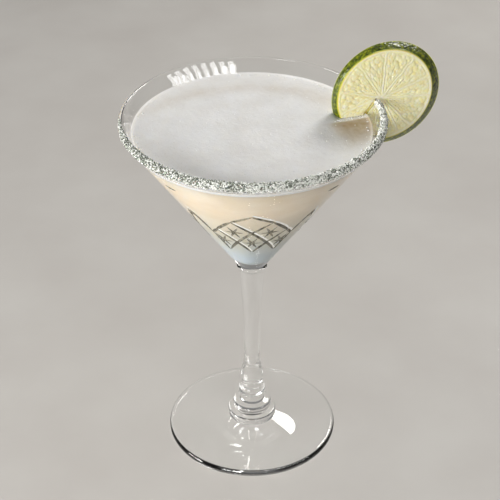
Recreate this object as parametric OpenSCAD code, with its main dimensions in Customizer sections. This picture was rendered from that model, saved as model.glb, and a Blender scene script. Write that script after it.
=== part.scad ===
// Margarita cocktail: a stemmed cut-pattern cocktail glass filled with a cloudy
// drink and its froth, a salted rim and a slit lime wheel hung on the rim.
// The glass stands on z = 0 with its axis on Z. Millimetres and degrees.

/* [Glass bowl] */
// Height of the rim above the table
glass_h = 172; // [165:1:210]
// Radius of the rim, outside
rim_r = 58; // [50:1:70]
// Angle between the bowl's outside and its axis
bowl_angle = 34.5; // [31:0.5:38]
// Thickness of the wall at its rounded lip
wall_lip = 1.9; // [1.4:0.1:2.6]
// Radius of the bowl's outside where it meets the stem
throat_r = 7.7; // [7:0.1:9]
// Height of the bowl's inside bottom above the start of the stem
floor_t = 7.5; // [5:0.1:9]
// Radius of the rounded inside bottom
floor_r = 8; // [6:0.5:10]

/* [Stem and foot] */
// Radius of the stem under the bowl
neck_r = 6.1; // [5.4:0.1:6.4]
// Radius of the stem at its waist
waist_r = 3.6; // [3:0.1:4.5]
// Height of the waist
waist_z = 48; // [44:1:60]
// Radius of the bead below the stem
bead_r = 6.4; // [5.8:0.1:7.5]
// Radius of the ring below the bead
ring_r = 9.2; // [8.4:0.1:9.8]
// Radius of the collar that the ring stands on
collar_r = 11.4; // [10.6:0.1:13]
// Radius of the foot
foot_r = 40.3; // [34:1:46]
// Thickness of the foot at its edge
foot_edge = 3.8; // [3:0.1:4.6]
// Rise of the foot's top from the edge to the collar
foot_rise = 4.2; // [3:0.1:5]

/* [Cut pattern] */
// Number of fan-shaped cut fields round the bowl
fields = 4; // [3:1:4]
// Width of one field, as an angle round the bowl
field_span = 72; // [60:1:76]
// Height of each field's top below the rim
field_drop = 25; // [20:1:30]
// Height between two rows of crossings
row_step = 9; // [8:0.5:9.5]
// Drop of the spires' tops below the rim, between the fields
spire_drop = 29; // [26:1:36]
// Drop of the single cut above each spire below the rim
olive_drop = 15; // [12:1:20]
// Depth of the long mitre cuts
cut_depth = 0.65; // [0.4:0.05:0.8]
// Depth of the small star cuts
star_depth = 0.4; // [0.3:0.05:0.5]
// Reach of a star's arms from its middle
star_arm = 5.6; // [3:0.1:6]
// Lean of a star's two long arms to either side
star_lean = 16; // [12:1:30]
// Half the width of the single cut above each spire, as an angle round the bowl
olive_span = 2.6; // [2:0.1:4]

/* [Drink] */
// Depth of the froth's top below the rim
fill_drop = 6.2; // [4.8:0.1:12]
// Thickness of the froth
froth_t = 1.4; // [0.8:0.1:3]

/* [Lime wheel] */
// Radius of the slice's smaller, front face
lime_front_r = 22.4; // [19:0.2:24]
// Radius of the slice's larger, back face
lime_back_r = 25.2; // [22:0.2:27]
// Thickness of the slice
lime_t = 5.2; // [4:0.1:7]
// How far the back face lies outward of the front one
lime_shift_out = 2; // [0:0.1:2.5]
// How far the back face lies below the front one
lime_shift_down = 1.7; // [0:0.1:2.5]
// Turn of the wheel round the rim, from +X towards +Y
lime_turn = 18.5; // [10:0.5:60]
// Turn of the wheel about its own upright line
lime_twist = -3; // [-6:0.5:6]
// Distance of the wheel's centre outwards from the top of the lip
lime_out = 4.1; // [2:0.1:6]
// Height of the wheel's centre above the rim
lime_up = 1.5; // [1:0.1:3]
// Room between the slit and the glass wall
slit_gap = 0.3; // [0.2:0.05:0.5]
// Thickness of the green rind and white pith together
rind_t = 1.5; // [1.2:0.1:3]
// Radius of the white core
core_r = 1.8; // [1.4:0.1:3]
// How far the core lies off the middle of the face
core_off = 1.4; // [0:0.1:2.5]
// Thickness of the membranes between the segments
membrane_t = 0.7; // [0.5:0.05:1.2]
// Depth to which the juicy segments lie below the membranes
flesh_sink = 0.35; // [0.2:0.05:0.6]

/* [Salt] */
// Turn at which the salted stretch starts, from +X towards +Y
salt_from = 186; // [180:1:230]
// Width of the salted band down the outside
salt_out = 3.4; // [2:0.1:4]
// Width of the salted band down the inside
salt_in = 2.6; // [1.5:0.1:3]
// Thickness of the salt
salt_t = 0.9; // [0.6:0.1:1.2]

/* [Hidden] */
$fn = 96;
tiny = 0.01;

// Bowl, worked out from its lip: both sides of the wall run tangent into the round lip,
// and the inside also runs tangent into the round bottom. The stem reaches up to the bowl.
lip_r = wall_lip / 2;
lip_c = [rim_r - lip_r, glass_h - lip_r];
outer_p = lip_c + lip_r * [cos(bowl_angle), -sin(bowl_angle)];
throat_z = outer_p[1] - (outer_p[0] - throat_r) / tan(bowl_angle);
neck_ring = 4.1;
stem_top = throat_z - neck_ring;
floor_c = [0, stem_top + floor_t + floor_r];
to_lip = lip_c - floor_c;
inner_a = atan2(to_lip[1], to_lip[0]) - acos((floor_r + lip_r) / norm(to_lip));
inner_t = floor_c + floor_r * [cos(inner_a), sin(inner_a)];
inner_p = lip_c - lip_r * [cos(inner_a), sin(inner_a)];
inner_angle = -inner_a;

// Surfaces of the drink
froth_z = glass_h - fill_drop;
drink_z = froth_z - froth_t;

// Stem and foot: heights and roundings of the collar, the ring and the bead, and the
// grooves between them
collar_z = foot_edge + foot_rise;
collar_top = collar_z + 2.4;
collar_round = 1;
ring_z = collar_z + 6.1;
ring_round = 1.9;
bead_z = collar_z + 14.4;
bead_round = 4.2;
grooves = [[ring_r - 0.6, collar_z + 3.7], [bead_r - 0.5, collar_z + 8.6]];
flare_z = 33;
flare_r = 5.3;
arc_n = 10;
stem_n = 14;

// Cut pattern: a field is five columns wide
column = field_span / 5;
spire_at = 180 / fields;
top_z = glass_h - field_drop;
shoulder = 5.8;
row_z = [for (i = [0:3]) top_z - shoulder - i * row_step];
cusp = [2.5 * column, row_z[1] - row_step / 2];

// Lime wheel: its middle plane passes near the glass axis and its rind bows a little outwards
rind_bow = 0.2;
lime_c = [lip_c[0] + lime_out, glass_h + lime_up];
core_c = [-core_off, -core_off * 0.9];
flesh_r = lime_front_r - rind_t;
membranes = [-4, 20, 52, 87, 122, 163, 195, 230, 264, 295, 313];
slit_low = glass_h - lime_back_r * 2;

// Salt: one stretch up to just before the lime, with thicker places along it
salt_n = 14;
salt_gap = 1.2;
salt_to = 360 + lime_turn - (lime_t / 2 + salt_gap) / lip_c[0] * 180 / PI;
salt_step = (salt_to - salt_from) / salt_n;

// Points along an arc about c, from angle a0 to a1
function arc(c, r, a0, a1, n) =
    [for (i = [0:n]) c + r * [cos(a0 + (a1 - a0) * i / n), sin(a0 + (a1 - a0) * i / n)]];

// Radius of the bowl's outside at height z
function outer_at(z) = outer_p[0] - (outer_p[1] - z) * tan(bowl_angle);

// Radius of the bowl's inside at height z, above the rounded bottom
function inner_at_z(z) = inner_p[0] - (inner_p[1] - z) * tan(inner_angle);

// Distance from the core to the flesh's edge in direction a
function flesh_at(a) = let (along = core_c * [cos(a), sin(a)])
    sqrt(along * along + flesh_r * flesh_r - core_c * core_c) - along;

// Point of a segment's outline, seen from the core, half a membrane in from angle a
function flesh_point(a, r, side) = let (at = a + side * asin(membrane_t / 2 / r))
    core_c + r * [cos(at), sin(at)];

// A number between -1 and 1 that looks random and is always the same for i
function uneven(i) = sin(i * 137.5) * cos(i * 61.3);

// Upper part of the stem, from the waist to the neck
function stem_up() = [for (i = [0:stem_n]) let (t = i / stem_n)
    [waist_r + (neck_r - waist_r) * pow(t, 1.5), waist_z + (stem_top - waist_z) * t]];

// Lower part of the stem, from the flare to the waist
function stem_low() = [for (i = [0:stem_n - 1]) let (t = 1 - i / stem_n)
    [waist_r + (flare_r - waist_r) * pow(t, 2.6), waist_z + (flare_z - waist_z) * t]];

// Top of the foot, from its edge to the collar
function foot_top() = [for (i = [0:8]) let (t = i / 8)
    [foot_r - foot_edge / 2 - (foot_r - foot_edge / 2 - collar_r) * t,
     foot_edge + foot_rise * pow(t, 1.7)]];

// Outside of the glass from the middle of its underside up to the lip
function outside() = concat(
    [[0, 0]],
    arc([foot_r - foot_edge / 2, foot_edge / 2], foot_edge / 2, -90, 80, arc_n),
    foot_top(),
    [[collar_r, collar_top]],
    arc([collar_r - collar_round, collar_top], collar_round, 20, 90, 4),
    [grooves[0]],
    arc([ring_r - ring_round, ring_z], ring_round, -40, 80, 8),
    [grooves[1]],
    arc([bead_r - bead_round, bead_z], bead_round, -42, 48, 8),
    [[flare_r - 0.15, flare_z - 3.6]],
    stem_low(),
    stem_up(),
    arc([neck_r - 0.2, stem_top + 1.3], 1.1, -60, 60, 6),
    [[throat_r, throat_z]]);

// Inside of the bowl from its bottom up to the lip
function inside() = arc(floor_c, floor_r, -90, inner_a, arc_n);

// Round lip, or a line that keeps a gap from it, from the outside over to the inside
function lip(gap) = arc(lip_c, lip_r + gap, -bowl_angle, 180 - inner_angle, 12);

// Half section of the whole glass
function section() = concat(outside(), lip(0),
    [for (i = [len(inside()) - 1:-1:0]) inside()[i]]);

// Half section of what fills the bowl between heights z0 and z1
function fill_section(z0, z1) = concat(
    z0 < inner_t[1] ? inside() : [[0, z0], [inner_at_z(z0), z0]],
    [[inner_at_z(z1), z1], [0, z1]]);

// Puts a child flat on the bowl's outside: +X leaves the glass, +Z runs up the wall
module on_bowl(turn, z) {
    rotate([0, 0, turn]) translate([outer_at(z), 0, z]) rotate([0, bowl_angle, 0]) children();
}

// Straight mitre cut between two places, each given as [turn, height]
module mitre(a, b, depth) {
    z = (a[1] + b[1]) / 2;
    across = outer_at(z) * (b[0] - a[0]) * PI / 180;
    up = (b[1] - a[1]) / cos(bowl_angle);
    reach = sqrt(across * across + up * up) + 0.6;
    half = depth * 1.6;
    on_bowl((a[0] + b[0]) / 2, z)
        rotate([-atan2(across, up), 0, 0])
        translate([half - depth, 0, -reach / 2])
        cylinder(r = half, h = reach, $fn = 4);
}

// Small star of crossing cuts
module star(turn, z) {
    on_bowl(turn, z) for (lean = [-star_lean, star_lean, 90]) {
        arm = lean == 90 ? star_arm * 0.7 : star_arm;
        rotate([lean, 0, 0]) translate([star_depth * 0.6, 0, -arm])
            cylinder(r = star_depth * 1.6, h = 2 * arm, $fn = 4);
    }
}

// Right half of one cut field: its outline, the crossing mitres and the stars,
// and the near half of the spire beside it
module half_field() {
    mitre([0, top_z], [column, row_z[0]], cut_depth);
    mitre([column, row_z[0]], [2 * column, row_z[1]], cut_depth);
    mitre([2 * column, row_z[1]], cusp, cut_depth);
    mitre(cusp, [2 * column, row_z[3]], cut_depth * 0.8);
    mitre(cusp, [spire_at, glass_h - spire_drop], cut_depth * 0.9);
    mitre([column, row_z[0]], [0, row_z[1]], cut_depth * 0.9);
    mitre([0, row_z[1]], [-column, row_z[2]], cut_depth * 0.95);
    mitre([-column, row_z[2]], [-2 * column, row_z[3]], cut_depth * 0.9);
    mitre([2 * column, row_z[1]], [column, row_z[2]], cut_depth * 0.85);
    mitre([column, row_z[2]], [0, row_z[3]], cut_depth * 0.8);
    star(column, row_z[1]);
    star(2 * column, row_z[2]);
}

// One cut field, centred on a turn, with the single cut above the spire beside it
module field(turn) {
    rotate([0, 0, turn]) {
        half_field();
        mirror([0, 1, 0]) half_field();
        star(0, row_z[2]);
        mitre([spire_at - olive_span, glass_h - olive_drop],
            [spire_at + olive_span, glass_h - olive_drop], cut_depth);
    }
}

// Places a flat piece where the wheel hangs: +X points outwards and +Z along the rim
module on_rim() {
    rotate([0, 0, lime_turn]) translate([lime_c[0], 0, lime_c[1]]) rotate([90, 0, 0])
        rotate([0, lime_twist, 0]) children();
}

// Lime slice before it is slit: round on both faces, and wider at the back
module slice() {
    on_rim() hull() {
        translate([0, 0, lime_t / 2 - tiny]) cylinder(r = lime_front_r, h = tiny, $fn = 72);
        translate([lime_shift_out / 2, -lime_shift_down / 2, -tiny / 2])
            cylinder(r = (lime_front_r + lime_back_r) / 2 + rind_bow, h = tiny, $fn = 72);
        translate([lime_shift_out, -lime_shift_down, -lime_t / 2])
            cylinder(r = lime_back_r, h = tiny, $fn = 72);
    }
}

// Juicy part of one segment between two membranes, as a flat outline
module segment(a0, a1) {
    near = max(core_r, membrane_t * 90 / (a1 - a0));
    outer = [for (i = [0:5]) let (a = a0 + (a1 - a0) * i / 5, side = 1 - i / 2.5)
        flesh_point(a, flesh_at(a), side)];
    inner = [for (i = [2:-1:0]) let (a = a0 + (a1 - a0) * i / 2)
        flesh_point(a, near, 1 - i)];
    polygon(concat(outer, inner));
}

// All the segments of a face
module segments() {
    for (i = [0:len(membranes) - 1])
        segment(membranes[i], i == len(membranes) - 1 ? membranes[0] + 360 : membranes[i + 1]);
}

// Band that the glass wall needs: the slit is cut with it
module wall_band(gap) {
    rotate_extrude() polygon(concat(
        [[outer_at(slit_low) + gap / cos(bowl_angle), slit_low]],
        lip(gap),
        [[inner_at_z(slit_low) - gap / cos(inner_angle), slit_low]]));
}

// Half section of the salt, which reaches into the wall and is trimmed to it later
function salt_section(grow) = let (
    z0 = lip_c[1] - salt_out * grow * cos(bowl_angle),
    z1 = lip_c[1] - salt_in * grow * cos(inner_angle))
    concat([[outer_at(z0) - wall_lip / 3, z0]],
        lip(salt_t * grow),
        [[inner_at_z(z1) + wall_lip / 3, z1]]);

// Salt along the rim from turn a0 to turn a1
module salt_stretch(a0, a1, grow) {
    rotate([0, 0, a0]) rotate_extrude(angle = a1 - a0) polygon(salt_section(grow));
}

module glass() {
    color("lightcyan", 0.4) difference() {
        rotate_extrude() polygon(section());
        for (i = [0:fields - 1]) field(270 + i * 360 / fields);
    }
}

module drink() {
    color("ivory") difference() {
        rotate_extrude() polygon(fill_section(0, drink_z));
        slice();
    }
}

module froth() {
    color("whitesmoke") difference() {
        rotate_extrude() polygon(fill_section(drink_z, froth_z));
        slice();
    }
}

module lime_wheel() {
    color("yellowgreen") difference() {
        slice();
        wall_band(slit_gap);
        on_rim() {
            translate([0, 0, lime_t / 2 - flesh_sink]) linear_extrude(1) segments();
            translate([0, 0, -lime_t / 2 - 1]) linear_extrude(1 + flesh_sink) segments();
        }
    }
}

module salt_rim() {
    color("white") difference() {
        union() {
            salt_stretch(salt_from, salt_to, 1);
            for (i = [0:salt_n - 1]) let (a = salt_from + (i + 0.3 + 0.2 * uneven(i)) * salt_step)
                salt_stretch(a, a + salt_step * (0.45 + 0.15 * uneven(i + 3)), 1.2 + 0.12 * uneven(i + 9));
        }
        rotate_extrude() polygon(section());
    }
}

glass();
drink();
froth();
lime_wheel();
salt_rim();
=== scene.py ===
"""A margarita: cloudy drink and froth in a cut-pattern glass, a lime wheel and a salted rim.

Sizes are in millimetres and angles in degrees, as in the CAD model; meshes are made in metres.
"""
import math
import bpy
import numpy as np
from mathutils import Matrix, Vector, kdtree, noise


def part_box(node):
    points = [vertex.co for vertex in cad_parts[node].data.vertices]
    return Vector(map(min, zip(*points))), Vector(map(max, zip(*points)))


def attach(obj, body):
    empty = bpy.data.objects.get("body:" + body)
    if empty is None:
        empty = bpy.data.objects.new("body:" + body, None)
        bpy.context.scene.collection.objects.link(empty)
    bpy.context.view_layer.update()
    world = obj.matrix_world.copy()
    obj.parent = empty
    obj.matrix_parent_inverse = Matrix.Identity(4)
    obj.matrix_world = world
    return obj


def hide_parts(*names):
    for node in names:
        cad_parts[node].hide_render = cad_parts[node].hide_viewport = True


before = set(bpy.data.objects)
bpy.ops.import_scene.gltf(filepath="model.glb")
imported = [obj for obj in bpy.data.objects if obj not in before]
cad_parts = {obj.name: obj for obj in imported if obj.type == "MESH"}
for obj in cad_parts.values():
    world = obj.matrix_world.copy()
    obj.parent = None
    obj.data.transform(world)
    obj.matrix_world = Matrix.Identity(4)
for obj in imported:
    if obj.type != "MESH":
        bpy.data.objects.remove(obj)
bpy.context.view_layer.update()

MM = 0.001
dice = np.random.default_rng(7)

# Bowl, stem and foot
GLASS_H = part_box("glass")[1].z / MM
RIM_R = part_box("glass")[1].x / MM
BOWL_ANGLE = 34.5
WALL_LIP = 1.9
FLOOR_T, FLOOR_R = 7.5, 8.0
THROAT_R, NECK_R, NECK_RING = 7.7, 6.1, 4.1
WAIST_R, WAIST_Z = 3.6, 48.0
BEAD_R, RING_R, COLLAR_R = 6.4, 9.2, 11.4
FOOT_R, FOOT_EDGE, FOOT_RISE = 40.3, 3.8, 4.2
FLARE_R, FLARE_Z = 5.3, 33.0
COLLAR_Z = FOOT_EDGE + FOOT_RISE
COLLAR_TOP, COLLAR_ROUND = COLLAR_Z + 2.4, 1.0
RING_Z, RING_ROUND = COLLAR_Z + 6.1, 1.9
BEAD_Z, BEAD_ROUND = COLLAR_Z + 14.4, 4.2
GROOVES = [(RING_R - 0.6, COLLAR_Z + 3.7), (BEAD_R - 0.5, COLLAR_Z + 8.6)]
GLASS_TURNS = 256

# Cut pattern, a little bolder than the CAD's, which would hardly show on a pale set
FIELDS, FIELD_SPAN = 4, 72.0
FIELD_DROP, ROW_STEP, SHOULDER = 25.0, 9.0, 5.8
SPIRE_DROP, OLIVE_DROP = 29.0, 15.0
CUT_DEPTH, STAR_DEPTH, CUTTER_PROUD = 0.72, 0.5, 0.35
STAR_ARM, STAR_LEAN = 6.4, 22.0
# The shallow wide cuts above some lines carry a painted highlight
EDGE_RISE, EDGE_DEPTH = 1.5, 0.2
CUT_SPREAD, EDGE_SPREAD = 1.25, 4.0
COLUMN = FIELD_SPAN / 5
TOP_Z = GLASS_H - FIELD_DROP
ROW_Z = [TOP_Z - SHOULDER - i * ROW_STEP for i in range(4)]

# Drink and froth: their surfaces, how far they reach into the wall and the lime, and how
# far the froth is drawn up at the wall
FROTH_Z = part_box("froth")[1].z / MM
DRINK_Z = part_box("drink")[1].z / MM
INTO_WALL, INTO_LIME = 0.3, 0.15
FROTH_CREEP = 0.45
DRINK_TURNS = 192
FROTH_TURNS, FROTH_STEPS = 300, 110
BUBBLES_AT_WALL, BUBBLES_AT_LIME, BUBBLES_BETWEEN = 130, 90, 130

# Lime wheel
LIME_FRONT_R, LIME_BACK_R, LIME_T = 22.4, 25.2, 5.2
LIME_SHIFT = (2.0, -1.7)
LIME_TURN, LIME_TWIST = 18.5, -3.0
LIME_OUT, LIME_UP = 4.1, 1.5
SLIT_GAP = 0.3
RIND_T, CORE_R, CORE_OFF = 1.5, 1.8, 1.4
MEMBRANES = [-4, 20, 52, 87, 122, 163, 195, 230, 264, 295, 313]
MEMBRANE_T, FLESH_SINK = 0.6, 0.22
VESICLES = 2400
LIME_TURNS, LIME_STEPS, RIND_STEPS = 420, 70, 22
LIME_MARKS = ("flesh", "skin", "cell", "rind")

# Salt
SALT_FROM, SALT_TO = 184.0, 374.7
SALT_OUT, SALT_IN = 3.6, 2.7
SALT_NOISE_R = 58
CRUST_T, CRUST_UNDER = 0.24, 0.05
CRYSTALS = 9000

# Lights, in metres: what the lamps aim at, and where the window shows on the glass wall
LAMP_AIM = (0, 0, 0.12)
WINDOW_SPOT, WINDOW_STRIPS = (-0.032, 0.042, 0.168), 8

# Camera, in metres, fitted to the outlines of the rim and the foot
CAMERA_PLACE, CAMERA_AIM = (0, -0.5872, 0.4979), (0, 0, 0.1026)
LENS, SENSOR, LENS_SHIFT = 111.5, 36, -0.004


def polar(angle):
    """Unit vector at an angle in degrees."""
    return np.array([math.cos(math.radians(angle)), math.sin(math.radians(angle))])


# The bowl's wall: both sides run tangent into the round lip, and the stem reaches up to it
LIP_R = WALL_LIP / 2
LIP_C = np.array([RIM_R - LIP_R, GLASS_H - LIP_R])
OUTER_P = LIP_C + LIP_R * polar(-BOWL_ANGLE)
THROAT_Z = OUTER_P[1] - (OUTER_P[0] - THROAT_R) / math.tan(math.radians(BOWL_ANGLE))
STEM_TOP = THROAT_Z - NECK_RING
FLOOR_C = np.array([0, STEM_TOP + FLOOR_T + FLOOR_R])
TO_LIP = LIP_C - FLOOR_C
INNER_A = math.degrees(
    math.atan2(TO_LIP[1], TO_LIP[0]) - math.acos((FLOOR_R + LIP_R) / np.hypot(*TO_LIP)))
INNER_ANGLE = -INNER_A
INNER_P = LIP_C - LIP_R * polar(INNER_A)


def outer_at(z):
    """Radius of the bowl's outside at height z."""
    return OUTER_P[0] - (OUTER_P[1] - z) * math.tan(math.radians(BOWL_ANGLE))


def inner_at(z):
    """Radius of the bowl's inside at height z, above its round bottom."""
    return INNER_P[0] - (INNER_P[1] - z) * math.tan(math.radians(INNER_ANGLE))


def arc(centre, radius, start, end, steps):
    """Points along an arc."""
    return [tuple(centre + radius * polar(a)) for a in np.linspace(start, end, steps + 1)]


def line(a, b, steps):
    """Points from a to b, both ends left out."""
    return [tuple(np.array(a) + (np.array(b) - a) * i / steps) for i in range(1, steps)]


def smooth_step(low, high, x):
    """0 below low, 1 above high and a smooth rise between."""
    t = np.clip((x - low) / (high - low), 0, 1)
    return t * t * (3 - 2 * t)


def ripple(x, y, z, size, seed=0):
    """Smooth noise between about -1 and 1 whose bumps are size across."""
    return noise.noise(Vector((x / size + seed, y / size, z / size)))


# ---------------------------------------------------------------- meshes

def make_piece(name, points, faces, material, smooth=40, replaces=(), slot=None):
    """A mesh object from points in millimetres; with a slot it rides on the root body."""
    mesh = bpy.data.meshes.new(name)
    mesh.from_pydata((np.asarray(points, float) * MM).tolist(), [], faces)
    mesh.materials.append(material)
    piece = bpy.data.objects.new(name, mesh)
    bpy.context.scene.collection.objects.link(piece)
    shade(piece, smooth)
    if slot:
        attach(piece, "root")
    if replaces:
        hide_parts(*replaces)
    return piece


def shade(piece, smooth):
    """Smooth shading, with edges sharper than the angle left crisp."""
    piece.data.shade_smooth()
    piece.data.set_sharp_from_angle(angle=math.radians(smooth))


def give(piece, name, values):
    """Stores a number for each point of a piece, which its material reads."""
    piece.data.attributes.new(name, "FLOAT", "POINT").data.foreach_set(
        "value", np.asarray(values, np.float32))


def renumbered(faces, start):
    """Faces whose corners are counted on from start."""
    return [tuple(corner + start for corner in face) for face in faces]


def revolve(profile, count, closed=False):
    """Points and faces of a profile turned round Z. Points on the axis close it."""
    points, rings = [], []
    turns = np.radians(np.arange(count) * 360 / count)
    for r, z in profile:
        if r < 1e-6:
            rings.append([len(points)])
            points.append((0, 0, z))
        else:
            rings.append(range(len(points), len(points) + count))
            points += [(r * math.cos(a), r * math.sin(a), z) for a in turns]
    if closed:
        rings.append(rings[0])
    faces = []
    for low, high in zip(rings, rings[1:]):
        for i in range(count):
            j = (i + 1) % count
            if len(low) == 1:
                faces.append((low[0], high[j], high[i]))
            elif len(high) == 1:
                faces.append((low[i], low[j], high[0]))
            else:
                faces.append((low[i], low[j], high[j], high[i]))
    return points, faces


def carve(piece, cutters, smooth):
    """Takes the cutters out of a piece, and removes them."""
    for cutter in cutters:
        cut = piece.modifiers.new("cut", "BOOLEAN")
        cut.operation = "DIFFERENCE"
        cut.solver = "MANIFOLD"
        cut.material_mode = "TRANSFER"
        cut.object = cutter
    graph = bpy.context.evaluated_depsgraph_get()
    mesh = bpy.data.meshes.new_from_object(piece.evaluated_get(graph))
    if len(mesh.polygons) < len(piece.data.polygons) / 2:
        raise ValueError(f"cutting {piece.name} failed")
    piece.modifiers.clear()
    piece.data = mesh
    for cutter in cutters:
        bpy.data.objects.remove(cutter)
    shade(piece, smooth)


# ---------------------------------------------------------------- materials

def new_material(name, **values):
    """A Principled material; the values are set on the shader's own sockets."""
    made = bpy.data.materials.new(name)
    made.use_nodes = True
    shader = made.node_tree.nodes["Principled BSDF"]
    for socket, value in values.items():
        shader.inputs[socket.replace("_", " ")].default_value = value
    return made


def colour(red, green, blue):
    """Linear colour from screen values between 0 and 255."""
    return tuple(((c / 255 + 0.055) / 1.055) ** 2.4 for c in (red, green, blue)) + (1,)


class Nodes:
    """Short ways to add nodes to a material and to link them to its shader."""

    def __init__(self, made):
        self.tree = made.node_tree
        self.shader = made.node_tree.nodes["Principled BSDF"]
        self.place = self.add("ShaderNodeTexCoord").outputs["Object"]

    def add(self, kind):
        """A new node of a kind."""
        return self.tree.nodes.new(kind)

    def link(self, start, end):
        """Joins two sockets."""
        self.tree.links.new(start, end)

    def to(self, socket, start):
        """Joins a socket to one of the shader's inputs."""
        self.link(start, self.shader.inputs[socket])

    def noise(self, size, detail=2, stretch=(1, 1, 1)):
        """Noise with bumps about size millimetres across."""
        spread = self.add("ShaderNodeMapping")
        spread.inputs["Scale"].default_value = stretch
        self.link(self.place, spread.inputs["Vector"])
        node = self.add("ShaderNodeTexNoise")
        node.inputs["Scale"].default_value = 1 / (size * MM)
        node.inputs["Detail"].default_value = detail
        self.link(spread.outputs[0], node.inputs["Vector"])
        return node.outputs["Fac"]

    def cells(self, size):
        """Distance from the middles of cells about size millimetres across."""
        node = self.add("ShaderNodeTexVoronoi")
        node.inputs["Scale"].default_value = 1 / (size * MM)
        self.link(self.place, node.inputs["Vector"])
        return node.outputs["Distance"]

    def value(self, name):
        """The number stored for each point under a name."""
        node = self.add("ShaderNodeAttribute")
        node.attribute_name = name
        return node.outputs["Fac"]

    def axis(self, index):
        """One of the coordinates in metres: X, Y or Z."""
        node = self.add("ShaderNodeSeparateXYZ")
        self.link(self.place, node.inputs[0])
        return node.outputs[index]

    def span(self, start, low, high, to_low=0.0, to_high=1.0):
        """Takes the stretch from low to high to the one from to_low to to_high."""
        node = self.add("ShaderNodeMapRange")
        for socket, value in zip(("From Min", "From Max", "To Min", "To Max"),
                                 (low, high, to_low, to_high)):
            node.inputs[socket].default_value = value
        self.link(start, node.inputs["Value"])
        return node.outputs[0]

    def ramp(self, start, stops):
        """Colours along a factor; stops are (place, colour)."""
        node = self.add("ShaderNodeValToRGB")
        for i, (place, shown) in enumerate(stops):
            spot = node.color_ramp.elements[i] if i < 2 else node.color_ramp.elements.new(place)
            spot.position = place
            spot.color = shown
        self.link(start, node.inputs[0])
        return node.outputs[0]

    def mix(self, factor, a, b):
        """Mix of two colours, each a socket or a plain colour."""
        node = self.add("ShaderNodeMix")
        node.data_type = "RGBA"
        for socket, given in ((node.inputs[0], factor), (node.inputs[6], a), (node.inputs[7], b)):
            if isinstance(given, bpy.types.NodeSocket):
                self.link(given, socket)
            else:
                socket.default_value = given
        return node.outputs[2]

    def bump(self, height, depth, strength=1.0):
        """Relief up to depth millimetres, on the shader's normal."""
        node = self.add("ShaderNodeBump")
        node.inputs["Strength"].default_value = strength
        node.inputs["Distance"].default_value = depth * MM
        self.link(height, node.inputs["Height"])
        self.link(node.outputs[0], self.shader.inputs["Normal"])


def glass_material():
    """Clear glass with a faint tint and slightly uneven, drawn surfaces."""
    made = new_material("clear_glass", Base_Color=(1, 1, 1, 1), Roughness=0.0, IOR=1.5,
                        Transmission_Weight=1.0)
    n = Nodes(made)
    n.to("Base Color", n.ramp(n.noise(18, 1), [(0.3, (0.99, 1, 0.995, 1)), (0.7, (1, 1, 1, 1))]))
    n.bump(n.noise(9, 1, (1, 1, 0.35)), 0.02, 0.35)
    return made


def cut_material(name, low, high, clear):
    """Polished faces of the cuts, painted between two screen colours: dark ones for painted shade on
    the cuts, pale ones for a painted highlight on their edges; clear is how much they let through.
    """
    made = new_material(name, Roughness=0.08, IOR=1.5, Transmission_Weight=clear)
    n = Nodes(made)
    n.to("Base Color", n.ramp(n.noise(1.6, 1), [(0.4, colour(*low)), (0.6, colour(*high))]))
    n.bump(n.noise(1.2, 1), 0.03, 0.5)
    return made


def drink_material():
    """Cloudy cream liquid, bluer and greyer towards the bottom of the bowl."""
    made = new_material("cloudy_drink", Roughness=0.25, IOR=1.34, Specular_IOR_Level=0.1,
                        Subsurface_Weight=0.75, Subsurface_Radius=(1.0, 0.85, 0.6),
                        Subsurface_Scale=6 * MM)
    n = Nodes(made)
    cloudy = n.ramp(n.noise(16, 3, (1, 1, 1.6)),
                    [(0.3, colour(226, 209, 182)), (0.7, colour(237, 224, 203))])
    low = n.ramp(n.span(n.axis("Z"), 100 * MM, 150 * MM),
                 [(0.15, colour(184, 196, 203)), (0.5, colour(192, 190, 175))])
    n.to("Base Color", n.mix(n.span(n.axis("Z"), 124 * MM, 148 * MM), low, cloudy))
    return made


def froth_material():
    """Fine froth with uneven patches and specks, browner where it is parted in front of the lime and
    where the shadows of the lime and the far rim are painted.
    """
    made = new_material("fine_froth", Roughness=0.38, IOR=1.34, Specular_IOR_Level=0.4,
                        Subsurface_Weight=0.6, Subsurface_Radius=(1.0, 0.9, 0.75),
                        Subsurface_Scale=3 * MM)
    n = Nodes(made)
    patches = n.ramp(n.noise(14, 4), [(0.35, colour(236, 233, 228)), (0.65, colour(244, 242, 238))])
    specks = n.span(n.cells(0.9), 0.08, 0.2)
    foam = n.mix(specks, colour(206, 200, 188), patches)
    # Brown where the froth is parted, with painted shadows of the lime and the far rim
    n.to("Base Color", n.mix(n.value("thin_froth_and_shadow"), foam, colour(172, 146, 108)))
    n.bump(n.cells(0.7), 0.08, 0.35)
    return made


def bubble_material():
    """Whitish, slightly clear skins of the bubbles."""
    made = new_material("bubbles", Roughness=0.15, IOR=1.33, Transmission_Weight=0.15)
    n = Nodes(made)
    n.to("Base Color", n.ramp(n.noise(2, 1), [(0.3, colour(235, 233, 226)),
                                              (0.7, colour(250, 250, 248))]))
    return made


def salt_material():
    """Crystals from clear to white, by the kind stored with each."""
    made = new_material("salt_crystals", Roughness=0.22, IOR=1.54)
    n = Nodes(made)
    kind = n.value("kind")
    n.to("Base Color", n.ramp(kind, [(0.0, colour(196, 204, 188)), (0.5, colour(228, 230, 222)),
                                     (1.0, colour(250, 250, 246))]))
    n.to("Transmission Weight", n.span(kind, 0.35, 0.55, 0.8, 0.05))
    n.to("Roughness", n.span(kind, 0.0, 1.0, 0.06, 0.4))
    n.bump(n.noise(0.25, 2), 0.05, 0.4)
    return made


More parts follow.
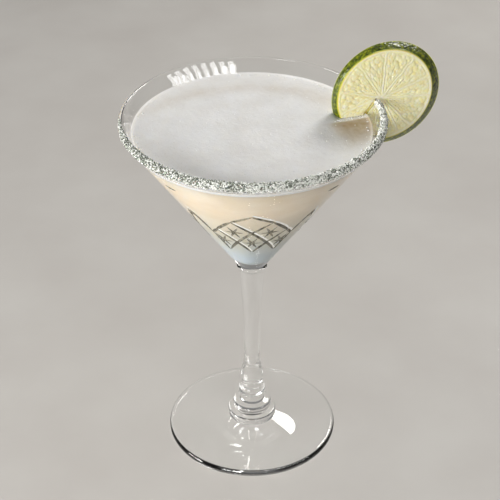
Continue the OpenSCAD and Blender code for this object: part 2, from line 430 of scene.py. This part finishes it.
def crust_material():
    """Damp salt under the crystals, in dark grey and pale patches; the dark grey is partly painted
    shade in the gaps between the crystals.
    """
    made = new_material("salt_crust", Roughness=0.5, IOR=1.5, Subsurface_Weight=0.3,
                        Subsurface_Scale=1 * MM)
    n = Nodes(made)
    # Dark grey patches: damp salt, and painted shade showing in the gaps between the crystals
    n.to("Base Color", n.ramp(n.noise(0.5, 3), [(0.4, colour(96, 98, 88)),
                                                (0.65, colour(222, 223, 216))]))
    n.bump(n.noise(0.35, 3), 0.25, 0.9)
    return made


def lime_material():
    """Juicy flesh, pale membranes, an edge that fades to green, and the mottled rind."""
    made = new_material("lime_flesh", Roughness=0.2, IOR=1.38, Subsurface_Weight=0.7,
                        Subsurface_Radius=(1.0, 0.9, 0.35), Subsurface_Scale=3 * MM,
                        Coat_Weight=0.35, Coat_Roughness=0.06)
    n = Nodes(made)
    juice = n.mix(n.value("cell"), colour(250, 235, 174), colour(255, 249, 216))
    pith = n.ramp(n.noise(1.2, 2), [(0.3, colour(250, 238, 190)), (0.7, colour(255, 251, 228))])
    inside = n.mix(n.value("flesh"), pith, juice)
    skin = n.ramp(n.noise(1.6, 4), [(0.3, colour(34, 42, 0)), (0.5, colour(80, 94, 4)),
                                    (0.7, colour(152, 156, 20))])
    edge = n.ramp(n.value("skin"), [(0.0, colour(110, 132, 14)), (0.35, colour(168, 164, 34)),
                                    (0.65, colour(232, 216, 120)), (1.0, colour(250, 238, 190))])
    cut = n.mix(n.span(n.value("skin"), 0.9, 1.0), edge, inside)
    n.to("Base Color", n.mix(n.value("rind"), cut, skin))
    n.to("Roughness", n.span(n.value("flesh"), 0, 1, 0.42, 0.1))
    n.bump(n.noise(0.5, 2), 0.06, 0.3)
    return made


# ---------------------------------------------------------------- glass

def glass_profile():
    """Half section of the glass, from the middle of its foot round to the bowl's bottom."""
    neck = arc((NECK_R - 0.2, STEM_TOP + 1.3), 1.1, -60, 60, 12)
    edge_r, edge_z = FOOT_R - FOOT_EDGE / 2, FOOT_EDGE / 2
    steps = np.linspace(0, 1, 25)
    foot = [(edge_r - (edge_r - COLLAR_R) * t, FOOT_EDGE + FOOT_RISE * t ** 1.7) for t in steps]
    low = [(WAIST_R + (FLARE_R - WAIST_R) * t ** 2.6, WAIST_Z + (FLARE_Z - WAIST_Z) * t)
           for t in steps[:0:-1]]
    up = [(WAIST_R + (NECK_R - WAIST_R) * t ** 1.5, WAIST_Z + (STEM_TOP - WAIST_Z) * t)
          for t in steps]
    cone_start = (THROAT_R, THROAT_Z)
    lip = arc(LIP_C, LIP_R, -BOWL_ANGLE, 180 - INNER_ANGLE, 20)
    inside = arc(FLOOR_C, FLOOR_R, INNER_A, -90, 24)
    return ([(0, 0), (20, 0), (32, 0)]
            + arc((edge_r, edge_z), edge_z, -90, 80, 20)
            + foot
            + [(COLLAR_R, COLLAR_TOP)]
            + arc((COLLAR_R - COLLAR_ROUND, COLLAR_TOP), COLLAR_ROUND, 20, 90, 8)
            + [GROOVES[0]]
            + arc((RING_R - RING_ROUND, RING_Z), RING_ROUND, -40, 80, 16)
            + [GROOVES[1]]
            + arc((BEAD_R - BEAD_ROUND, BEAD_Z), BEAD_ROUND, -42, 48, 16)
            + [(FLARE_R - 0.15, FLARE_Z - 3.6)]
            + low + up + neck + [cone_start]
            + line(cone_start, lip[0], 24) + lip
            + line(lip[-1], inside[0], 24) + inside[:-1] + [(0, inside[-1][1])])


def on_bowl(turn, z):
    """Point on the bowl's outside and the outward normal there."""
    out = np.array([*polar(turn), 0])
    tilt = math.radians(BOWL_ANGLE)
    point = out * outer_at(z) + np.array([0, 0, z])
    return point, out * math.cos(tilt) - np.array([0, 0, math.sin(tilt)])


def wheel_cut(route, depths, spread=CUT_SPREAD):
    """One V-shaped cut along points of the bowl's outside, each with its own depth.

    The cut is spread times as wide, to each side, as it is deep."""
    points, faces = [], []
    places = [on_bowl(*spot) for spot in route]
    for k, (point, normal) in enumerate(places):
        ahead = places[min(k + 1, len(places) - 1)][0] - places[max(k - 1, 0)][0]
        side = np.cross(normal, ahead / np.linalg.norm(ahead))
        half = spread * (depths[k] + CUTTER_PROUD)
        top = point + normal * CUTTER_PROUD
        points += [point - normal * depths[k], top + side * half, top - side * half]
    last = len(points) - 3
    for k in range(0, last, 3):
        apex, plus, minus = k, k + 1, k + 2
        faces += [(apex, plus, plus + 3, apex + 3), (apex, apex + 3, minus + 3, minus),
                  (plus, minus, minus + 3, plus + 3)]
    faces += [(0, 2, 1), (last, last + 1, last + 2)]
    return points, faces


def long_cut(a, b, depth, ends, spread=CUT_SPREAD):
    """Cut between two places, given as (turn, height), that runs out at its ends.

    The ends give the share of the depth that is left at each end."""
    shares = np.linspace(0, 1, 15)
    route = [(a[0] + (b[0] - a[0]) * t, a[1] + (b[1] - a[1]) * t) for t in shares]
    bulge = 1 - (2 * shares - 1) ** 4
    left = ends[0] * (1 - shares) + ends[1] * shares
    depths = depth * (left + (1 - left) * bulge)
    depths[[0, -1]] -= 0.12 * (np.array(ends) < 0.05)
    return wheel_cut(route, depths, spread)


def lens_cut(turn, z, arm, lean, depth):
    """Short cut with pointed ends about a place; lean 0 runs straight up the wall."""
    shares = np.linspace(-1, 1, 11)
    across = math.degrees(1 / outer_at(z)) * math.sin(math.radians(lean))
    up = math.cos(math.radians(BOWL_ANGLE)) * math.cos(math.radians(lean))
    route = [(turn + arm * s * across, z + arm * s * up) for s in shares]
    return wheel_cut(route, depth * (1.08 - 1.2 * shares ** 2))


def field_lines():
    """Long cuts of one field and the near halves of the spires beside it.

    Each has its two ends, its share of the cut depth and what is left of that at its ends."""
    cusp = (2.5 * COLUMN, ROW_Z[1] - ROW_STEP / 2)
    node = [(i * COLUMN, z) for i, z in ((1, ROW_Z[0]), (2, ROW_Z[1]))]
    spire = (180 / FIELDS, GLASS_H - SPIRE_DROP)
    half = [((0, TOP_Z), node[0], 1, (0.35, 0.4)),
            (node[0], node[1], 1, (0.4, 0.4)),
            (node[1], cusp, 0.95, (0.4, 0.35)),
            (cusp, (2 * COLUMN, ROW_Z[3]), 0.8, (0.35, 0)),
            (cusp, spire, 0.85, (0.3, 0)),
            (node[0], (-2 * COLUMN, ROW_Z[3]), 0.92, (0.3, 0)),
            (node[1], (0, ROW_Z[3]), 0.85, (0.3, 0))]
    return half + [((-a[0], a[1]), (-b[0], b[1]), share, ends) for a, b, share, ends in half]


def field_stars():
    """Stars in the field's closed diamonds, and the spire's small one with the cut above it."""
    cuts = []
    for turn, z in ((-COLUMN, ROW_Z[1]), (COLUMN, ROW_Z[1]), (-2 * COLUMN, ROW_Z[2]),
                    (2 * COLUMN, ROW_Z[2]), (0, ROW_Z[2])):
        cuts += [lens_cut(turn, z, STAR_ARM * (0.7 if lean == 90 else 1), lean, STAR_DEPTH)
                 for lean in (-STAR_LEAN, STAR_LEAN, 90)]
    middle = 180 / FIELDS
    cuts += [lens_cut(middle, GLASS_H - SPIRE_DROP - 4, 3.2, lean, STAR_DEPTH * 1.2)
             for lean in (-35, 35, 90)]
    return cuts + [lens_cut(middle, GLASS_H - OLIVE_DROP, 3.8, 90, CUT_DEPTH * 1.2)]


def pattern_cutters():
    """One cutter for each cut of a field, with its copies round the bowl.

    The cut faces carry painted shade, and lines that run down to the right have a painted highlight
    along a shallow cut above them."""
    # Painted shade on the cut faces, and a painted highlight, opaque white, on the edges above some
    # lines
    dark = cut_material("painted_shade_facets", (52, 50, 42), (140, 136, 120), 0.45)
    bright = cut_material("painted_highlight_facets", (250, 248, 240), (255, 255, 252), 0.0)
    cuts = [(cut, dark) for cut in field_stars()]
    for a, b, share, ends in field_lines():
        cuts.append((long_cut(a, b, CUT_DEPTH * share, ends), dark))
        if (b[0] - a[0]) * (b[1] - a[1]) < 0:
            rise = np.array([0, EDGE_RISE])
            edge = long_cut(a + rise, b + rise, EDGE_DEPTH, (0.2, 0.2), EDGE_SPREAD)
            cuts.append((edge, bright))
    return [make_piece("cutter", *on_each_field(*cut), polished) for cut, polished in cuts]


def on_each_field(points, faces):
    """Copies of a cutter's points and faces, one for each field round the bowl."""
    all_points, all_faces = [], []
    for i in range(FIELDS):
        c, s = polar(270 + i * 360 / FIELDS)
        turned = np.asarray(points) @ np.array([[c, s, 0], [-s, c, 0], [0, 0, 1]])
        all_faces += renumbered(faces, len(all_points))
        all_points += list(turned)
    return all_points, all_faces


def build_glass():
    """Bowl, stem and foot in one piece, with the pattern cut into the bowl."""
    glass = make_piece("cut_glass", *revolve(glass_profile(), GLASS_TURNS), glass_material(),
                       replaces=["glass"], slot="glass")
    carve(glass, pattern_cutters(), 28)
    # Light passes the glass on its way to and from rough surfaces, as if it weren't there
    glass.visible_shadow = False
    glass.visible_diffuse = False


# ---------------------------------------------------------------- lime

def lime_place(points):
    """Takes points of the flat slice, X outwards, Y up and Z to the front, to the rim."""
    twist, turn = math.radians(LIME_TWIST), math.radians(LIME_TURN)
    x, y, z = np.asarray(points, float).T
    x, z = x * math.cos(twist) + z * math.sin(twist), z * math.cos(twist) - x * math.sin(twist)
    out = x + LIP_C[0] + LIME_OUT
    return np.stack([out * math.cos(turn) + z * math.sin(turn),
                     out * math.sin(turn) - z * math.cos(turn),
                     y + GLASS_H + LIME_UP], 1)


def slice_ring(share):
    """Centre and radius of the slice's outline between front, share 0, and back, share 1."""
    bow = 0.35 * math.sin(math.pi * share)
    return (np.array(LIME_SHIFT) * share, LIME_FRONT_R + (LIME_BACK_R - LIME_FRONT_R) * share + bow)


class Face:
    """One cut face of the lime: segments round a core, as heights over a flat disc."""

    def __init__(self, centre, radius, vesicles):
        self.centre = np.asarray(centre, float)
        self.core = self.centre + np.array([-CORE_OFF, -CORE_OFF * 0.9]) * radius / LIME_FRONT_R
        self.radius = radius
        self.tree = kdtree.KDTree(vesicles)
        for i in range(vesicles):
            self.tree.insert((dice.uniform(0, 20), dice.uniform(0, 100), 0), i)
        self.tree.balance()
        self.tone = dice.uniform(0, 1, vesicles)

    def grid(self, count, steps):
        """Turns about the core, distances out to the outline, and these places in the plane."""
        turns = np.arange(count) * 360 / count
        heading = np.stack([polar(a) for a in turns])
        off = self.core - self.centre
        along = heading @ off
        reach = np.sqrt(along ** 2 + self.radius ** 2 - off @ off) - along
        shares = np.linspace(0, 1, steps + 1)[1:]
        shares = 1 - (1 - shares) ** 1.12
        r = shares[:, None] * reach[None, :]
        flat = self.core + r[..., None] * heading[None]
        return turns, r, flat

    def values(self, turns, r, flat):
        """Height in millimetres, flesh, skin and vesicle tone for each point."""
        to_edge = self.radius - np.linalg.norm(flat - self.centre, axis=-1)
        angle = np.broadcast_to(turns[None], r.shape)
        bend = np.array([[ripple(a * 0.05, q * 0.3, 0, 1.0, 3) for a, q in zip(row_a, row_r)]
                         for row_a, row_r in zip(angle, r)])
        walls = np.array(MEMBRANES, float)
        gap = (angle[..., None] - walls + 180) % 360 - 180 + 2.2 * bend[..., None]
        wall = r * np.radians(np.abs(gap).min(-1)) - MEMBRANE_T / 2 * (0.65 + 0.5 * r / self.radius)
        to_skin = to_edge - RIND_T * (1 + 0.12 * bend)
        to_core = r - CORE_R * (1 + 0.35 * bend)
        soft = 0.55
        blend = np.exp(-np.stack([wall, to_skin, to_core]) / soft).sum(0)
        inside = -soft * np.log(blend)
        flesh = smooth_step(-0.15, 0.35, inside)
        height, tone = self.vesicle(angle, r)
        fringe = smooth_step(0.1, 1.0, inside)
        relief = -FLESH_SINK * flesh + (0.36 * height - 0.10) * fringe
        relief += 0.05 * smooth_step(0.2, -0.3, inside) * bend
        relief -= 0.35 * smooth_step(0.5, 0.0, to_edge)
        return relief, flesh, np.clip(to_edge / 0.8, 0, 1), tone * fringe + 0.5 * (1 - fringe)

    def vesicle(self, angle, r):
        """Height between 0 and 1 and tone of the juice vesicles, which point to the core."""
        height, tone = np.zeros(r.shape), np.zeros(r.shape)
        for at in np.ndindex(r.shape):
            sway = 0.12 * math.sin(r[at] * 0.8 + angle[at] * 0.11)
            spot = (r[at] * 0.75, angle[at] / 3.6 + sway, 0)
            _, index, distance = self.tree.find(spot)
            height[at] = math.sqrt(max(0.0, 1 - (distance / 0.8) ** 2))
            tone[at] = self.tone[index]
        return height, tone


def lime_side(side):
    """Points of one cut face, side 0 or 1, from its core out ring by ring, and their marks."""
    sign = 1 if side == 0 else -1
    face = Face(*slice_ring(side), VESICLES)
    turns, r, flat = face.grid(LIME_TURNS, LIME_STEPS)
    relief, flesh, skin, tone = face.values(turns, r, flat)
    depth = sign * (LIME_T / 2 + relief)
    points = [(*face.core, sign * (LIME_T / 2 - 0.1))]
    points += [(*flat[at], depth[at]) for at in np.ndindex(r.shape)]
    marks = [(0, 1, 0.5, 0)]
    marks += [(flesh[at], skin[at], tone[at], 0) for at in np.ndindex(r.shape)]
    return points, marks


def lime_rind(front_edge, back_edge):
    """Points of the pebbled rind between the outlines of the two faces, ring by ring."""
    points = []
    for k in range(1, RIND_STEPS):
        share = k / RIND_STEPS
        centre, radius = slice_ring(share)
        round_off = 0.3 * (abs(2 * share - 1)) ** 6
        for front, back in zip(front_edge, back_edge):
            base = front * (1 - share) + back * share
            out = base[:2] - centre
            out /= np.linalg.norm(out)
            x, y = out * radius
            pits = max(0, ripple(x, y, base[2], 0.7, 9))
            pores = 0.32 * ripple(x, y, base[2], 1.1, 5) - 0.4 * pits
            bow = 0.16 * ripple(x, y, base[2], 7, 1)
            x, y = centre + out * (radius + pores + bow - round_off)
            points.append((x, y, base[2]))
    return points


def lime_faces():
    """Faces of the slice: both cut faces, and the rind between their outlines."""
    count = LIME_TURNS
    cores = [0, 1 + LIME_STEPS * count]
    strip = 2 * cores[1]
    outlines = [core + 1 + (LIME_STEPS - 1) * count for core in cores]
    rows = [outlines[0]] + [strip + k * count for k in range(RIND_STEPS - 1)] + [outlines[1]]
    faces = []
    for i in range(count):
        j = (i + 1) % count
        for side, core in enumerate(cores):
            first = core + 1
            ring = (core, first + i, first + j)
            faces.append(ring if side == 0 else ring[::-1])
            for k in range(LIME_STEPS - 1):
                low, high = first + k * count, first + (k + 1) * count
                quad = (low + i, high + i, high + j, low + j)
                faces.append(quad if side == 0 else quad[::-1])
        for low, high in zip(rows, rows[1:]):
            faces.append((low + i, high + i, high + j, low + j))
    return faces


def give_marks(piece, marks):
    """Stores flesh, skin, cell and rind for each point of a piece."""
    for name, values in zip(LIME_MARKS, zip(*marks)):
        give(piece, name, values)


def build_lime():
    """The slice: two cut faces joined by a pebbled rind, then slit over the glass wall."""
    front, front_marks = lime_side(0)
    back, back_marks = lime_side(1)
    rind = lime_rind(np.array(front[-LIME_TURNS:]), np.array(back[-LIME_TURNS:]))
    lime = make_piece("lime_slice", lime_place(front + back + rind), lime_faces(),
                      lime_material(), smooth=75, replaces=["lime_wheel"], slot="lime")
    give_marks(lime, front_marks + back_marks + [(0, 0, 0.5, 1)] * len(rind))
    band = wall_band()
    give_marks(band, [(1, 1, 0.6, 0)] * len(band.data.vertices))
    carve(lime, [band], 75)


def wall_band():
    """The glass wall made thicker by the gap, which cuts the slit."""
    low = GLASS_H - 2 * LIME_BACK_R
    profile = ([(outer_at(low) + SLIT_GAP / math.cos(math.radians(BOWL_ANGLE)), low)]
               + arc(LIP_C, LIP_R + SLIT_GAP, -BOWL_ANGLE, 180 - INNER_ANGLE, 12)
               + [(inner_at(low) - SLIT_GAP / math.cos(math.radians(INNER_ANGLE)), low)])
    return make_piece("cutter", *revolve(profile, 360, closed=True), None)


def lime_room(shrink):
    """Plain slice a little smaller than the lime, which the drink is cut round with."""
    count, points, faces = 96, [], []
    for share in (0, 0.5, 1):
        centre, radius = slice_ring(share)
        z = (LIME_T / 2 - shrink) * (1 - 2 * share)
        points += [(*(centre + (radius - shrink) * polar(i * 360 / count)), z) for i in range(count)]
    for i in range(count):
        j = (i + 1) % count
        for low in range(0, count * 2, count):
            faces.append((low + i, low + count + i, low + count + j, low + j))
    faces += [tuple(range(count)), tuple(range(3 * count - 1, 2 * count - 1, -1))]
    return make_piece("cutter", lime_place(points), faces, None)


# ---------------------------------------------------------------- drink and froth

def fill_radius(z):
    """Radius just inside the glass wall at height z."""
    return inner_at(z) + INTO_WALL / math.cos(math.radians(INNER_ANGLE))


def build_drink():
    """The liquid, which reaches just into the glass wall and leaves room for the lime."""
    low = arc(FLOOR_C, FLOOR_R + INTO_WALL, -90, INNER_A, 24)
    top = (fill_radius(DRINK_Z), DRINK_Z)
    profile = ([(0, low[0][1])] + low[1:] + line(low[-1], top, 24) + [top]
               + [(top[0] * (1 - k / 12), DRINK_Z) for k in range(1, 12)] + [(0, DRINK_Z)])
    drink = make_piece("cloudy_drink", *revolve(profile, DRINK_TURNS), drink_material(),
                       replaces=["drink"], slot="drink")
    carve(drink, [lime_room(INTO_LIME)], 40)


def from_lime(x, y):
    """A place in the lime's own directions: outwards along its middle plane, and behind it."""
    turn = math.radians(LIME_TURN)
    return (x * math.cos(turn) + y * math.sin(turn),
            -x * math.sin(turn) + y * math.cos(turn))


def near_lime(x, y):
    """Distance in the drink's plane from the lime's faces, in millimetres."""
    along, across = from_lime(x, y)
    start = LIP_C[0] + LIME_OUT - LIME_FRONT_R * 0.96
    return math.hypot(max(0, start - along), max(0, abs(across) - LIME_T / 2))


def froth_thin_and_shadow(x, y):
    """Share of a brown mixed into the froth's colour: most of it in front of the lime, where the
    froth is parted and the drink shows, with a painted shadow and reflection of the lime, and a
    little in a band inside the far wall, a painted shadow of the rim."""
    along, across = from_lime(x, y)
    ahead = -across - LIME_T / 2
    # Parted froth in front of the lime, with the lime's shadow and reflection painted in
    patch = smooth_step(2.2, 4.5, ahead) * smooth_step(34, 5, ahead) * smooth_step(30, 39, along)
    # Painted shadow of the far rim: a circle of the rim's size moved to the front
    band = math.exp(-((math.hypot(x, y + 20) - 58) / 5) ** 2) * smooth_step(6, 22, y)
    ragged = 1 + 0.25 * ripple(x, y, 0, 7, 8) + 0.2 * ripple(x, y, 0, 2, 9)
    return float(np.clip((0.8 * patch + 0.2 * band) * ragged, 0, 1))


def froth_height(x, y):
    """Height of the froth's top: slightly uneven, drawn up at the wall and sunk at the lime."""
    r = math.hypot(x, y)
    wall = fill_radius(FROTH_Z) - r
    z = FROTH_Z + FROTH_CREEP * math.exp(-max(wall, 0) / 0.5) - math.exp(-near_lime(x, y) / 1.6)
    z += 0.07 * ripple(x, y, 0, 9, 2) + 0.04 * ripple(x, y, 0, 2.2, 4)
    return z + 0.05 * ripple(x, y, 0, 0.8, 6)


def build_froth():
    """The froth: a flat underside, and an uneven top with finer rings towards the wall."""
    count = FROTH_TURNS
    points, faces = revolve([(0, DRINK_Z), (fill_radius(DRINK_Z), DRINK_Z)], count)
    rings = [range(1, count + 1)]
    for k in range(FROTH_STEPS):
        share = 1 - (k / FROTH_STEPS) ** 1.15
        rings.append(range(len(points), len(points) + count))
        for i in range(count):
            x, y = share * fill_radius(FROTH_Z + FROTH_CREEP) * polar(i * 360 / count)
            points.append((x, y, froth_height(x, y)))
    for low, high in zip(rings, rings[1:]):
        faces += [(low[i], low[(i + 1) % count], high[(i + 1) % count], high[i])
                  for i in range(count)]
    points.append((0, 0, froth_height(0, 0)))
    last = rings[-1]
    faces += [(last[i], last[(i + 1) % count], len(points) - 1) for i in range(count)]
    froth = make_piece("froth_top", points, faces, froth_material(),
                       replaces=["froth"], slot="froth")
    # Painted shadows of the lime and the rim, with the parted froth, as a share for each point
    give(froth, "thin_froth_and_shadow", [froth_thin_and_shadow(x, y) for x, y, _ in points])
    carve(froth, [lime_room(INTO_LIME)], 40)


def unit_ball():
    """Points and faces of a small closed ball with unit radius."""
    return revolve([(0, -1)] + [tuple(polar(a)) for a in (-50, -10, 25, 55, 78)] + [(0, 1)], 10)


def build_bubbles():
    """Bubbles in the froth: along the wall, by the lime and here and there between."""
    spots = []
    for _ in range(BUBBLES_AT_WALL):
        turn = dice.uniform(0, 360)
        r = fill_radius(FROTH_Z) - INTO_WALL - abs(dice.normal(0, 1.1)) - 0.5
        spots.append((*(r * polar(turn)), dice.uniform(0.16, 0.5)))
    for _ in range(BUBBLES_AT_LIME):
        along, across = dice.uniform(36, 52), LIME_T / 2 + 0.3 + abs(dice.normal(0, 1.6))
        x, y = along * polar(LIME_TURN) - across * dice.choice([1, 1, -1]) * polar(LIME_TURN + 90)
        spots.append((x, y, dice.uniform(0.15, 0.5)))
    for _ in range(BUBBLES_BETWEEN):
        r = fill_radius(FROTH_Z) * math.sqrt(dice.uniform(0, 0.95))
        spots.append((*(r * polar(dice.uniform(0, 360))), dice.uniform(0.12, 0.34)))
    ball, ball_faces = unit_ball()
    points, faces = [], []
    for x, y, radius in spots:
        if math.hypot(x, y) > fill_radius(FROTH_Z) - INTO_WALL - radius or near_lime(x, y) < 0.3:
            continue
        centre = np.array([x, y, froth_height(x, y) - radius * 0.35])
        faces += renumbered(ball_faces, len(points))
        points += list(np.asarray(ball) * radius + centre)
    make_piece("froth_bubbles", points, faces, bubble_material(), slot="froth")


# ---------------------------------------------------------------- salt

def lip_frame(distance):
    """Point and outward normal in the half section, at a distance along the wall from the
    lip's top: positive down the outside and negative down the inside."""
    outer_arc = math.radians(90 + BOWL_ANGLE) * LIP_R
    inner_arc = math.radians(90 - INNER_ANGLE) * LIP_R
    if -inner_arc <= distance <= outer_arc:
        angle = 90 - math.degrees(distance / LIP_R)
        return LIP_C + LIP_R * polar(angle), polar(angle)
    if distance > 0:
        down = np.array([-math.sin(math.radians(BOWL_ANGLE)), -math.cos(math.radians(BOWL_ANGLE))])
        return OUTER_P + (distance - outer_arc) * down, polar(-BOWL_ANGLE)
    down = np.array([-math.sin(math.radians(INNER_ANGLE)), -math.cos(math.radians(INNER_ANGLE))])
    return INNER_P + (-distance - inner_arc) * down, polar(180 - INNER_ANGLE)


def salt_reach(turn, side):
    """How far the salt reaches down a side, from the lip's top, at a turn."""
    base = SALT_OUT if side > 0 else SALT_IN
    x, y = SALT_NOISE_R * polar(turn)
    uneven = 1 + 0.18 * ripple(x, y, side, 9, 11) + 0.22 * ripple(x, y, side, 2.5, 12)
    run_out = smooth_step(SALT_FROM - 2, SALT_FROM + 22, turn)
    run_out *= smooth_step(SALT_TO + 0.5, SALT_TO - 1, turn)
    narrow = 1 - 0.5 * smooth_step(318, 366, turn) - 0.55 * smooth_step(240, 192, turn)
    return base * uneven * narrow * (0.25 + 0.75 * run_out)


def build_crust():
    """Thin uneven crust under the crystals."""
    length, width = 420, 12
    points, faces = [], []
    for i in range(length + 1):
        turn = SALT_FROM + (SALT_TO - SALT_FROM) * i / length
        out, into = salt_reach(turn, 1) * 0.9, salt_reach(turn, -1) * 0.9
        x, y = SALT_NOISE_R * polar(turn)
        top, under = [], []
        for k in range(width + 1):
            distance = -into + (out + into) * k / width
            point, normal = lip_frame(distance)
            uneven = 1 + 0.6 * ripple(x, y, distance, 0.8, 21)
            thick = CRUST_T * min(1, min(k, width - k) / 2) * uneven + 0.02
            top.append(point + normal * thick)
            under.append(point - CRUST_UNDER * normal)
        c, s = polar(turn)
        points += [(r * c, r * s, z) for r, z in top + under[::-1]]
    size = 2 * (width + 1)
    for i in range(length):
        for k in range(size):
            low, high = i * size, (i + 1) * size
            j = (k + 1) % size
            faces.append((low + k, low + j, high + j, high + k))
    faces += [tuple(range(size - 1, -1, -1)), tuple(length * size + k for k in range(size))]
    make_piece("salt_crust", points, faces, crust_material(), smooth=60,
               replaces=["salt_rim"], slot="salt")


CUBE_FACES = [(0, 2, 3, 1), (4, 5, 7, 6), (0, 1, 5, 4), (2, 6, 7, 3), (0, 4, 6, 2), (1, 3, 7, 5)]


def crystal():
    """Corners of a broken cube of salt, about one across, in the order of CUBE_FACES."""
    corners = np.array([(x, y, z) for z in (-1, 1) for y in (-1, 1) for x in (-1, 1)]) * 0.5
    return corners * dice.uniform(0.6, 1.1, 3) + dice.uniform(-0.12, 0.12, (8, 3))


def build_crystals():
    """Loose crystals stuck on the lip, thickest along its top and thinning to the edges."""
    points, faces, kinds = [], [], []
    for _ in range(CRYSTALS):
        turn = dice.uniform(SALT_FROM - 1, SALT_TO)
        side = dice.choice([1, -1], p=[0.6, 0.4])
        spread = abs(dice.normal(0, 0.55))
        if spread > 1.25:
            continue
        distance = side * spread * salt_reach(turn, side)
        point, normal = lip_frame(distance)
        size = dice.uniform(0.3, 0.72) * (1 if spread < 0.95 else 0.7)
        size *= 1 - 0.3 * smooth_step(240, 192, turn)
        pile = max(0, 1 - abs(distance + 0.6) / 2.4)
        pile *= 1 - 0.6 * smooth_step(320, 368, turn) - 0.5 * smooth_step(222, 192, turn)
        lift = dice.uniform(0.0, 0.25) + dice.uniform(0, 0.9) * pile + size * 0.3
        turned, _ = np.linalg.qr(dice.normal(0, 1, (3, 3)))
        turned *= np.sign(np.linalg.det(turned))
        c, s = polar(turn)
        place = point + normal * lift
        centre = np.array([place[0] * c, place[0] * s, place[1]])
        faces += renumbered(CUBE_FACES, len(points))
        points += list(crystal() * size @ turned.T + centre)
        glassy = 0.62 - 0.25 * smooth_step(215, 300, turn)
        kinds += [0.2 if dice.uniform() < glassy else dice.uniform(0.6, 1)] * 8
    salt = make_piece("salt_crystals", points, faces, salt_material(), smooth=10, slot="salt")
    give(salt, "kind", kinds)


# ---------------------------------------------------------------- stage, light and camera

def build_floor():
    """Pale floor, a tenth of a millimetre below the foot so that the two faces stay apart."""
    made = new_material("pale_floor", Roughness=0.55, Specular_IOR_Level=0.35)
    n = Nodes(made)
    n.to("Base Color", n.ramp(n.noise(60, 4), [(0.3, colour(184, 180, 175)),
                                               (0.7, colour(191, 188, 183))]))
    half, low = 2500, -0.1
    corners = [(-half, -half, low), (half, -half, low), (half, half, low), (-half, half, low)]
    floor = make_piece("floor", corners, [(0, 1, 2, 3)], made)


def add_light(name, place, aim, size, power, tint=(1, 1, 1)):
    """Soft light at a place, turned to its aim, in metres and watts; size is width and height."""
    lamp = bpy.data.lights.new(name, "AREA")
    lamp.shape = "RECTANGLE"
    lamp.size, lamp.size_y = size
    lamp.energy = power
    lamp.color = tint
    light = bpy.data.objects.new(name, lamp)
    light.location = place
    light.rotation_euler = (Vector(aim) - Vector(place)).to_track_quat("-Z", "Y").to_euler()
    bpy.context.scene.collection.objects.link(light)
    return light


def build_lights():
    """Soft lamps behind, to the left and in front, the window's strips and the sky."""
    add_light("key", (0.42, 0.62, 0.70), LAMP_AIM, (0.3, 0.3), 4.8, (1, 0.98, 0.95))
    add_light("fill", (-1.10, -0.30, 0.35), LAMP_AIM, (0.4, 0.4), 12.0, (1, 0.99, 0.98))
    add_light("front", (-0.50, -0.95, 0.50), LAMP_AIM, (0.4, 0.4), 9.5)
    build_window()
    build_sky()


def build_window():
    """Bright upright strips that only show as a reflection on the far side of the wall."""
    wall = Vector(WINDOW_SPOT)
    for i in range(WINDOW_STRIPS):
        turn = math.radians(-68 + 8 * i)
        rise = math.radians(39.5 - 1.7 * i)
        heading = Vector((math.cos(turn) * math.cos(rise), math.sin(turn) * math.cos(rise),
                          math.sin(rise)))
        strip = add_light("window", wall + heading, wall, (0.075, 0.24), 0.55)
        strip.visible_diffuse = False


def build_sky():
    """Grey surroundings that grow lighter upwards."""
    world = bpy.data.worlds.new("studio")
    bpy.context.scene.world = world
    world.use_nodes = True
    tree = world.node_tree
    back = tree.nodes["Background"]
    place = tree.nodes.new("ShaderNodeTexCoord").outputs["Generated"]
    split = tree.nodes.new("ShaderNodeSeparateXYZ")
    ramp = tree.nodes.new("ShaderNodeValToRGB")
    for i, (spot, grey) in enumerate(((0.0, 0.05), (0.35, 0.6))):
        ramp.color_ramp.elements[i].position = spot
        ramp.color_ramp.elements[i].color = (grey, grey, grey, 1)
    tree.links.new(place, split.inputs[0])
    tree.links.new(split.outputs["Z"], ramp.inputs[0])
    tree.links.new(ramp.outputs[0], back.inputs["Color"])
    back.inputs["Strength"].default_value = 0.34


def build_camera():
    """The camera at the photo's angle."""
    lens = bpy.data.cameras.new("camera")
    lens.lens = LENS
    lens.sensor_width = SENSOR
    lens.shift_x = LENS_SHIFT
    camera = bpy.data.objects.new("camera", lens)
    camera.location = CAMERA_PLACE
    aim = Vector(CAMERA_AIM) - camera.location
    camera.rotation_euler = aim.to_track_quat("-Z", "Y").to_euler()
    bpy.context.scene.collection.objects.link(camera)
    bpy.context.scene.camera = camera


build_camera()
build_lights()
build_floor()
build_glass()
build_drink()
build_froth()
build_bubbles()
build_lime()
build_crust()
build_crystals()
bpy.context.scene.view_settings.view_transform = "Standard"
